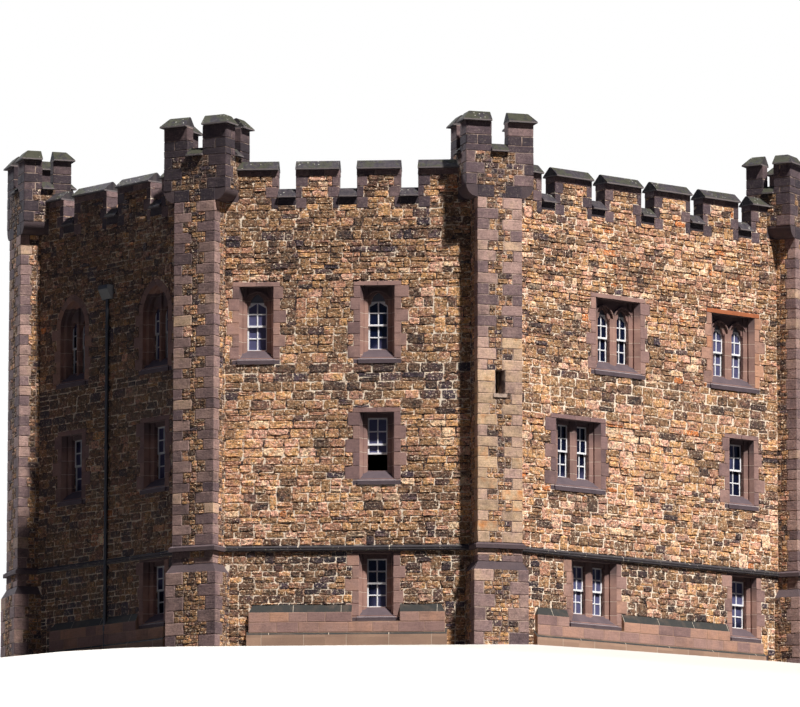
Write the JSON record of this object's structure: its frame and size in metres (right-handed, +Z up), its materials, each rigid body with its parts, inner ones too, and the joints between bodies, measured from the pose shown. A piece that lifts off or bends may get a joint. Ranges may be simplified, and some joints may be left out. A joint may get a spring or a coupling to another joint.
{
  "type": "octagonal castle keep",
  "caption": "Irregular octagonal stone keep with corner buttresses, corbelled open turrets, battlements, traceried sash windows and a lead roof.",
  "frame": {"origin": "centre of the plan at ground level, bottom centre of the bounding box", "axes": "+Z up, -Y out of the front wall, +X to the right seen from the front"},
  "size_m": [24.918, 21.818, 15.7],
  "materials": {
    "rubble_stone": "coursed rubble sandstone in pale mortar",
    "dark_ashlar": "purple-grey dressed sandstone quoins with rubble between them",
    "dressed_stone": "smooth dressed pinkish sandstone",
    "coping_stone": "weathered sandstone coping with green and pale lichen",
    "white_paint": "white painted timber sash",
    "window_glass": "clear window glass with a dark room behind it",
    "floor_boards": "plain boarded floor",
    "roof_lead": "dull sheet lead",
    "black_iron": "black painted cast iron"
  },
  "bodies": {
    "root": {"front_wall": "rubble_stone", "front_parapet": "rubble_stone", "front_right_wall": "rubble_stone", "front_right_parapet": "rubble_stone", "right_wall": "rubble_stone", "right_parapet": "rubble_stone", "back_right_wall": "rubble_stone", "back_right_parapet": "rubble_stone", "back_wall": "rubble_stone", "back_parapet": "rubble_stone", "back_left_wall": "rubble_stone", "back_left_parapet": "rubble_stone", "left_wall": "rubble_stone", "left_parapet": "rubble_stone", "front_left_wall": "rubble_stone", "front_left_parapet": "rubble_stone", "front_left_corner_buttress": "dark_ashlar", "front_left_corner_turret": "dark_ashlar", "front_right_corner_buttress": "dark_ashlar", "front_right_corner_turret": "dark_ashlar", "right_front_corner_buttress": "dark_ashlar", "right_front_corner_turret": "dark_ashlar", "right_back_corner_buttress": "dark_ashlar", "right_back_corner_turret": "dark_ashlar", "back_right_corner_buttress": "dark_ashlar", "back_right_corner_turret": "dark_ashlar", "back_left_corner_buttress": "dark_ashlar", "back_left_corner_turret": "dark_ashlar", "left_back_corner_buttress": "dark_ashlar", "left_back_corner_turret": "dark_ashlar", "left_front_corner_buttress": "dark_ashlar", "left_front_corner_turret": "dark_ashlar", "merlon_copings": "coping_stone", "embrasure_copings": "coping_stone", "turret_copings": "coping_stone", "string_course": "dark_ashlar", "plinth_course": "dressed_stone", "ground_window_surrounds": "dressed_stone", "first_window_surrounds": "dressed_stone", "second_window_surrounds": "dressed_stone", "window_sashes": "white_paint", "window_glass": "window_glass", "storey_floors": "floor_boards", "roof_deck": "roof_lead", "rainwater_pipe": "black_iron"}
  },
  "joints": []
}
